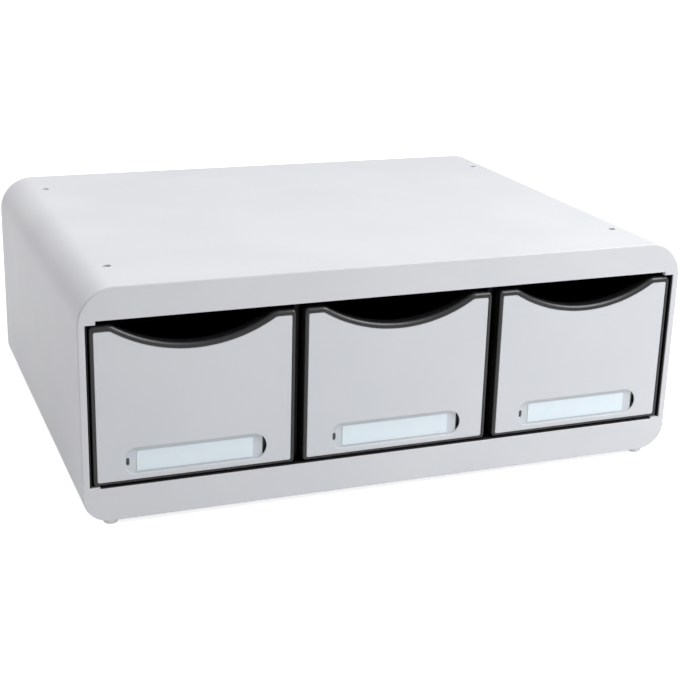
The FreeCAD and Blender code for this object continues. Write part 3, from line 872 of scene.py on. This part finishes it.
def tub():
    """The open tub: its wall and floor swept round a U, from one side of the front to the other."""
    section = [
        (tub_wall + tub_floor_radius - out, front_low_z + tub_floor + tub_floor_radius - up)
        for up, out in quarter_round(tub_floor_radius)
    ]
    for inwards, up in quarter_round(tub_rim_round):
        section.append((tub_wall - tub_rim_round + inwards, tub_high_z - tub_rim_round + up))
    for up, out in quarter_round(tub_rim_round):
        section.append((tub_rim_round - out, tub_high_z - tub_rim_round + up))
    for out, down in quarter_round(tub_low_round):
        section.append((tub_low_round - out, front_low_z + tub_low_round - down))
    rings = []
    for inset, z in section:
        half = tub_half_width - inset
        rear_y = tray_rear_y - inset
        corner = tub_corner_radius - inset
        left = arc(-half + corner, rear_y - corner, corner, math.pi, math.pi / 2, quarter_steps)
        path = [(-half, front_inside_y - tub_overlap)] + left
        path += [(-x, y) for x, y in reversed(path)]
        rings.append([(x, y, z) for x, y in path])
    return stack_rings("tub", rings, open_side=True)


def stop_tab(side):
    """A tab on the tub's rear wall, which stops the drawer when it is fully open."""
    x = side * stop_tab_spacing / 2
    tab = block(
        "stop_tab", (x - stop_tab_width / 2, tray_rear_y - tub_wall, tub_high_z - stop_tab_root),
        (x + stop_tab_width / 2, tray_rear_y, stop_tab_high_z),
    )
    round_off(tab, stop_tab_round, lambda middle: middle.z > tub_high_z, steps=2)
    return tab


def in_each_bay(piece, kind):
    """Turn a piece into copies, one moved to each bay, and pair each with its bay's name."""
    copies = []
    for name, x in bay_x.items():
        mesh = piece.data.copy()
        for vertex in mesh.vertices:
            vertex.co.x += x
        copies.append((name, in_scene(kind + "_" + name, mesh)))
    bpy.data.objects.remove(piece)
    return copies


# The fourth colour lightens the rounded edges and the rolled lip: partly wear, partly a painted
# highlight.
drawer_black = moulded_polystyrene(
    "polystyrene, black, drawer", "151518", "1A1A1D", "3A3A3E",
    grain_size=0.8 * mm, grain_height=0.015 * mm, roughness=0.36, sheen=0.42,
)
one_tray = front_block()
apply_boolean(one_tray, [tub(), stop_tab(-1), stop_tab(1)], "UNION")
for name, tray in in_each_bay(one_tray, "tray"):
    set_finish(tray, drawer_black)
    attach(tray, "drawer_" + name)
    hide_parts("drawer_tray_" + name)

# ---- Fascias ----
# A light grey polystyrene plate clips into each drawer's front. It is moulded with the same scoop,
# and with a round-ended pocket for the label, whose right end is cut through for a fingertip.
fascia_gap = 0.15 * mm
fascia_edge_round = 0.35 * mm
pocket_edge_round = 0.2 * mm
pocket_length = 79.0 * mm
pocket_height = 15.0 * mm
pocket_depth = 1.4 * mm
pocket_centre_height = 12.1 * mm
label_centre_z = front_low_z + pocket_centre_height
punch_overrun = 1.0 * mm
finger_gap = 2.1 * mm
notch_lip_thickness = 0.8 * mm
notch_relief_reach = 2.0 * mm
eye_width = 1.9 * mm
eye_height = 4.4 * mm
eye_from_end = 2.7 * mm
eye_below_centre = 0.5 * mm
pocket_floor_y = fascia_front_y + pocket_depth
end_steps = 20


def pocket_outline():
    """The label pocket's outline: straight long sides and half-round ends."""
    radius = pocket_height / 2
    x = pocket_length / 2 - radius
    right = arc(x, label_centre_z, radius, -math.pi / 2, math.pi / 2, end_steps)
    return right + arc(-x, label_centre_z, radius, math.pi / 2, 3 * math.pi / 2, end_steps)


def punch(name, outline, low_y, high_y):
    """A solid with one outline, from one depth to another."""
    return stack_rings(name, [[(x, y, z) for x, z in outline] for y in (low_y, high_y)])


def pocket_end(reach):
    """The part of the pocket's round end beyond the cover, moved outwards by a reach."""
    radius = pocket_height / 2
    turn = math.acos((radius - finger_gap) / (radius + reach))
    centre_x = pocket_length / 2 - radius
    return arc(centre_x, label_centre_z, radius + reach, turn, -turn, end_steps)


def upright_eye():
    """A small upright round-ended hole near the pocket's left end."""
    radius = eye_width / 2
    reach = eye_height / 2 - radius
    x = -pocket_length / 2 + eye_from_end
    z = label_centre_z - eye_below_centre
    low = arc(x, z - reach, radius, math.pi, 2 * math.pi, quarter_steps)
    high = arc(x, z + reach, radius, 0, math.pi, quarter_steps)
    return low + high


def fascia_plate():
    """A plate with a rounded front edge, its label pocket and its holes punched."""
    edges = [p + fascia_gap for p in (rim_side, rim_low, rim_high)]
    levels = [(edges, fascia_seat_y)]
    for out, forward in quarter_round(fascia_edge_round):
        insets = [e + fascia_edge_round - out for e in edges]
        levels.append((insets, fascia_front_y + fascia_edge_round - forward))
    plate = stack_rings("fascia_plate", [
        [(x, y, z) for x, z in front_outline(*insets)] for insets, y in levels
    ])
    outside_y = fascia_front_y - punch_overrun
    behind_y = fascia_seat_y + punch_overrun
    relief_y = fascia_front_y + notch_lip_thickness
    apply_boolean(plate, [
        punch("pocket", pocket_outline(), outside_y, pocket_floor_y),
        punch("finger_notch", pocket_end(0.0), outside_y, behind_y),
        punch("notch_relief", pocket_end(notch_relief_reach), relief_y, behind_y),
        punch("eye", upright_eye(), outside_y, behind_y),
    ], "DIFFERENCE")
    front_y = fascia_front_y + on_plane
    round_off(plate, pocket_edge_round, lambda middle: middle.y < front_y, steps=3)
    return plate


# The fourth colour lightens the rounded edges: partly wear, partly a painted highlight.
fascia_grey = moulded_polystyrene(
    "polystyrene, light grey, fascia", "D6D9DE", "DADCE1", "E9EAED",
    grain_size=0.9 * mm, grain_height=0.015 * mm, roughness=0.4, sheen=0.5,
)
for name, fascia in in_each_bay(fascia_plate(), "fascia"):
    set_finish(fascia, fascia_grey)
    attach(fascia, "drawer_" + name)
    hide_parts("drawer_fascia_" + name)

# ---- Label cards and their covers ----
# A pale blue card lies in each pocket under a clear polystyrene cover with rounded ends. The cover
# snaps in, and stops short of the pocket's right end so that a fingertip can lift it out.
card_low, card_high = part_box("label_card_centre")
cover_low, cover_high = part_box("label_window_centre")
card_corner_radius = 0.8 * mm
cover_edge_round = 0.3 * mm
cover_card_gap = 0.05 * mm


def label_card():
    """Uncoated label card: pale blue, dull, with fibres that stand out a little."""
    fibre_width = 0.4 * mm
    cloud_size = 6 * mm
    material, tree, place = shader_tree("label card, pale blue, uncoated")
    drawn_out = add(tree, "ShaderNodeMapping", {"Vector": place, "Scale": (0.25, 1.0, 1.0)})
    fibres = add(tree, "ShaderNodeTexNoise", {
        "Vector": drawn_out, "Scale": 1 / fibre_width, "Detail": 4, "Roughness": 0.65,
    })
    clouds = add(tree, "ShaderNodeTexNoise", {
        "Vector": place, "Scale": 1 / cloud_size, "Detail": 3.0,
    })
    even = add(tree, "ShaderNodeMix", {
        "Factor": clouds, "A": colour("EEF8FF"), "B": colour("F5FAFF"),
    }, data_type="RGBA")
    fibre = add(tree, "ShaderNodeMapRange", {
        "Value": fibres, "From Min": 0.58, "From Max": 0.75, "To Max": 0.35,
    })
    specked = add(tree, "ShaderNodeMix", {
        "Factor": fibre, "A": even, "B": colour("DFEEF9"),
    }, data_type="RGBA")
    dull = add(tree, "ShaderNodeMapRange", {"Value": fibres, "To Min": 0.75, "To Max": 0.95})
    skin = add(tree, "ShaderNodeBump", {"Height": fibres, "Strength": 0.4, "Distance": 0.02 * mm})
    shader = add(tree, "ShaderNodeBsdfPrincipled", {
        "Base Color": specked, "Roughness": dull, "IOR": 1.45, "Normal": skin,
    })
    add(tree, "ShaderNodeOutputMaterial", {"Surface": shader})
    return material


def clear_polystyrene():
    """Clear moulded polystyrene: see-through and glossy, a little milky where fingers rub it."""
    smear_size = 9 * mm
    ripple_size = 4 * mm
    material, tree, place = shader_tree("clear polystyrene, label cover")
    smears = add(tree, "ShaderNodeTexNoise", {
        "Vector": place, "Scale": 1 / smear_size, "Detail": 5.0,
    })
    ripple = add(tree, "ShaderNodeTexNoise", {
        "Vector": place, "Scale": 1 / ripple_size, "Detail": 1.0,
    })
    skin = add(tree, "ShaderNodeBump", {"Height": ripple, "Strength": 0.2, "Distance": 0.02 * mm})
    milky = add(tree, "ShaderNodeMapRange", {
        "Value": smears, "From Min": 0.4, "From Max": 0.7, "To Max": 0.03,
    })
    dulled = add(tree, "ShaderNodeMapRange", {"Value": smears, "To Min": 0.08, "To Max": 0.24})
    clear = add(tree, "ShaderNodeBsdfTransparent", {"Color": colour("FEFFFF")})
    body = add(tree, "ShaderNodeBsdfPrincipled", {
        "Base Color": colour("F2F8FC"), "Roughness": dulled, "IOR": 1.59, "Normal": skin,
    })
    mirror = add(tree, "ShaderNodeFresnel", {"IOR": 1.59, "Normal": skin})
    front_share = add(tree, "ShaderNodeMath", {
        "Value": mirror, "Value_001": milky,
    }, operation="ADD")
    rear_face = add(tree, "ShaderNodeNewGeometry").outputs["Backfacing"]
    lamp_ray = add(tree, "ShaderNodeLightPath").outputs["Is Shadow Ray"]
    passed = add(tree, "ShaderNodeMath", {
        "Value": rear_face, "Value_001": lamp_ray,
    }, operation="MAXIMUM")
    share = add(tree, "ShaderNodeMix", {"Factor": passed, "A": front_share, "B": 0.0})
    shader = add(tree, "ShaderNodeMixShader", {"Fac": share, "Shader": clear, "Shader_001": body})
    add(tree, "ShaderNodeOutputMaterial", {"Surface": shader})
    return material


def rounded_card():
    """The card's outline: a rectangle with slightly rounded corners."""
    half = (card_high.x - card_low.x) / 2 - card_corner_radius
    centre_z = (card_low.z + card_high.z) / 2
    up = (card_high.z - card_low.z) / 2 - card_corner_radius
    quarter = math.pi / 2
    outline = []
    for i, (x, z) in enumerate(((half, -up), (half, up), (-half, up), (-half, -up))):
        outline += arc(
            x, centre_z + z, card_corner_radius, quarter * (i - 1), quarter * i, small_corner_steps,
        )
    return outline


def cover_outline(inset):
    """The cover's outline: half round at the left, and cut straight at the right."""
    centre_z = (cover_low.z + cover_high.z) / 2
    radius = (cover_high.z - cover_low.z) / 2 - inset
    left_x = cover_low.x + inset + radius
    turn = math.acos((cover_high.x - inset + left_x) / radius)
    low = arc(-left_x, centre_z, radius, -math.pi / 2, -turn, small_corner_steps)
    high = arc(-left_x, centre_z, radius, turn, math.pi / 2, small_corner_steps)
    return low + high + arc(left_x, centre_z, radius, math.pi / 2, 3 * math.pi / 2, end_steps)


def cover_plate():
    """The clear cover, rounded off round its front face."""
    levels = [(0.0, cover_high.y - cover_card_gap)]
    for out, forward in quarter_round(cover_edge_round):
        levels.append((cover_edge_round - out, cover_low.y + cover_edge_round - forward))
    return stack_rings("cover_plate", [
        [(x, y, z) for x, z in cover_outline(inset)] for inset, y in levels
    ])


card_paper = label_card()
cover_clear = clear_polystyrene()
one_card = punch("card", rounded_card(), card_low.y, card_high.y)
for name, card in in_each_bay(one_card, "card"):
    set_finish(card, card_paper)
    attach(card, "drawer_" + name)
    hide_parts("label_card_" + name)
for name, cover in in_each_bay(cover_plate(), "cover"):
    set_finish(cover, cover_clear)
    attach(cover, "drawer_" + name)
    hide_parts("label_window_" + name)

# ---- Floor, light and camera ----
# A pale floor that reads white where nothing shades it, a white surround, and four soft lamps. The
# camera and the gloss see the floor and the surround lighter than they light the box.
floor_half_width = 9.0
floor_lift = 0.71
floor_lift_in_gloss = 0.4
surround_strength = 0.36
surround_in_gloss = 0.8
paint_size = 1000 / 3 * mm


def ray_kinds(tree):
    """Whether a ray comes from the camera, and whether it comes off a glossy or clear surface."""
    path = add(tree, "ShaderNodeLightPath").outputs
    in_gloss = add(tree, "ShaderNodeMath", {
        "Value": path["Is Glossy Ray"], "Value_001": path["Is Transmission Ray"],
    }, operation="MAXIMUM")
    return path["Is Camera Ray"], in_gloss


def pale_floor():
    """Matt white board, painted with a roller, which reads white beside the box."""
    material, tree, place = shader_tree("floor, matt white")
    paint = add(tree, "ShaderNodeTexNoise", {"Vector": place, "Scale": 1 / paint_size, "Detail": 2})
    shade = add(tree, "ShaderNodeMix", {
        "Factor": paint, "A": colour("F4F4F4"), "B": colour("F8F8F8"),
    }, data_type="RGBA")
    matt = add(tree, "ShaderNodeBsdfDiffuse", {"Color": shade})
    from_camera, in_gloss = ray_kinds(tree)
    lift_in_gloss = add(tree, "ShaderNodeMath", {
        "Value": in_gloss, "Value_001": floor_lift_in_gloss,
    }, operation="MULTIPLY")
    lift = add(tree, "ShaderNodeMath", {
        "Value": from_camera, "Value_001": floor_lift, "Value_002": lift_in_gloss,
    }, operation="MULTIPLY_ADD")
    glow = add(tree, "ShaderNodeEmission", {"Strength": lift})
    shader = add(tree, "ShaderNodeAddShader", {"Shader": matt, "Shader_001": glow})
    add(tree, "ShaderNodeOutputMaterial", {"Surface": shader})
    return material


floor_shape = bmesh.new()
bmesh.ops.create_grid(floor_shape, x_segments=2, y_segments=2, size=floor_half_width)
floor = piece_from("floor", floor_shape)
floor.data.materials.append(pale_floor())

world = bpy.data.worlds.new("white surround")
bpy.context.scene.world = world
world.use_nodes = True
sky = world.node_tree
sky.nodes.clear()
from_camera, in_gloss = ray_kinds(sky)
lighting = add(sky, "ShaderNodeMapRange", {
    "Value": in_gloss, "To Min": surround_strength, "To Max": surround_in_gloss,
})
strength = add(sky, "ShaderNodeMath", {
    "Value": lighting, "Value_001": from_camera,
}, operation="MAXIMUM")
surround = add(sky, "ShaderNodeBackground", {"Color": colour("FFFFFF"), "Strength": strength})
add(sky, "ShaderNodeOutputWorld", {"Surface": surround})

for name, place, aim, size, power in (
    ("behind", (0.2, 1.2, 1.4), (0.0, 0.0, 0.1), 1.2, 6.3),
    ("right", (0.55, -0.45, 0.75), (0.05, -0.1, 0.06), 0.5, 6.6),
    ("back left", (-0.5, 2.0, 0.95), (0.0, 0.0, 0.1), 1.6, 5.7),
    ("left", (-1.4, 0.9, 0.7), (0.0, 0.0, 0.06), 1.0, 2.2),
):
    light = bpy.data.lights.new(name, "AREA")
    light.shape = "DISK"
    light.size = size
    light.energy = power
    lamp = in_scene(name, light)
    lamp.location = place
    lamp.rotation_euler = (Vector(aim) - lamp.location).to_track_quat("-Z", "Y").to_euler()

camera_place = Vector((-295.7, -802.1, 333.5)) * mm
camera_turn = math.radians(21.302)
camera_tilt = math.radians(-18.636)
camera_roll = math.radians(1.55)
camera_lens = 73.96
camera = in_scene("camera", bpy.data.cameras.new("camera"))
camera.data.sensor_width = 36.0
camera.data.lens = camera_lens
camera.data.clip_start = 10 * mm
camera.data.clip_end = 50.0
view = Euler((0, 0, -camera_turn)).to_matrix()
view = view @ Euler((math.pi / 2 + camera_tilt, 0, 0)).to_matrix()
view = view @ Euler((0, 0, camera_roll)).to_matrix()
camera.location = camera_place
camera.rotation_euler = view.to_euler()
bpy.context.scene.camera = camera
bpy.context.scene.view_settings.view_transform = "Standard"
